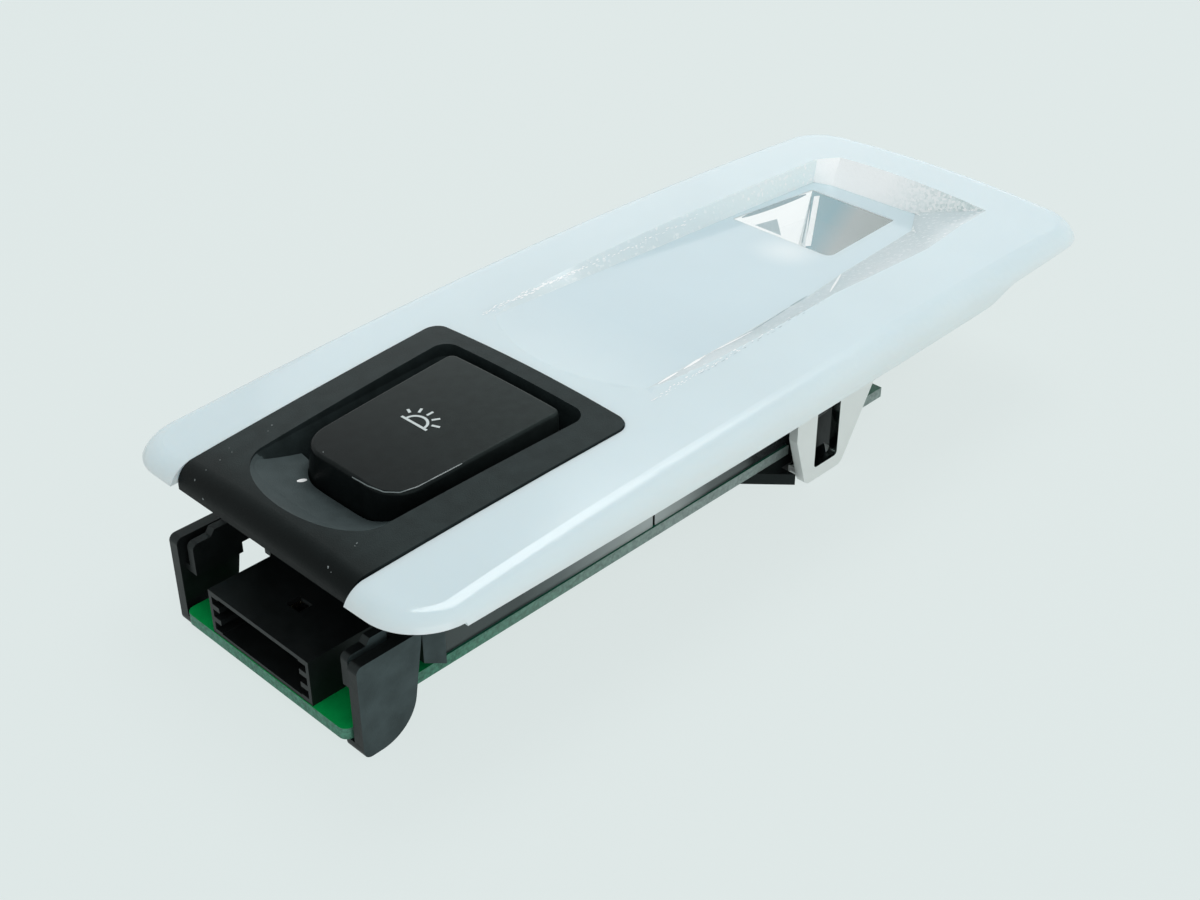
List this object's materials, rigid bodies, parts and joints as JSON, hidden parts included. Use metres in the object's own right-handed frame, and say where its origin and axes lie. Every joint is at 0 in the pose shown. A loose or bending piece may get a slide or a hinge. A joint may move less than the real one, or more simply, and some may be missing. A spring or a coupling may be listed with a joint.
{
  "type": "car dome light",
  "caption": "Oblong car dome light with a milky lens frame, a black push switch in a finger well, a recessed reading window, a clip-fitted board carrier and a plug socket.",
  "frame": {"origin": "middle of the lamp's box, at the plane its feet stand on", "axes": "+X along the lamp from the plug socket to the reading light, +Z out of the visible face"},
  "size_m": [0.136, 0.0568, 0.0261],
  "materials": {
    "milky_lens": "glossy, milky and slightly bluish, light passes through",
    "clear_window": "clear and polished",
    "black_trim": "satin black moulding with fine grain",
    "black_button": "satin black moulding",
    "light_pipe": "clear moulding",
    "black_housing": "semi-gloss black moulding",
    "black_component": "matt",
    "white_plastic": "satin",
    "steel": "tinned",
    "contact_metal": "tinned contact metal",
    "green_board": "green solder mask",
    "bright_metal_coat": "bright metal coat on a moulding",
    "light_source": "pale yellow resin",
    "tan_ceramic": "fired ceramic"
  },
  "bodies": {
    "lamp": {"lens_frame": "milky_lens", "reading_window": "clear_window", "switch_bezel": "black_trim", "switch_base": "black_component", "switch_cover": "steel", "switch_terminals": "steel", "circuit_board": "green_board", "connector_header": "black_housing", "connector_pins": "contact_metal", "switch_housing": "black_housing", "reflector": "bright_metal_coat", "reading_led": "light_source", "symbol_led": "light_source", "frame_leds": "light_source", "driver_chip": "black_component", "driver_chip_leads": "steel", "resistors": "black_component", "capacitors": "tan_ceramic", "protection_diode": "black_component"},
    "button": {"push_button": "black_button", "symbol_light_pipe": "light_pipe", "switch_stem": "white_plastic"}
  },
  "joints": [
    {"name": "button_press", "type": "slide", "parent": "lamp", "child": "button", "axis": [0, 0, -1], "range_m": [0, 0.0008], "stiffness_N_per_m": 2000}
  ]
}
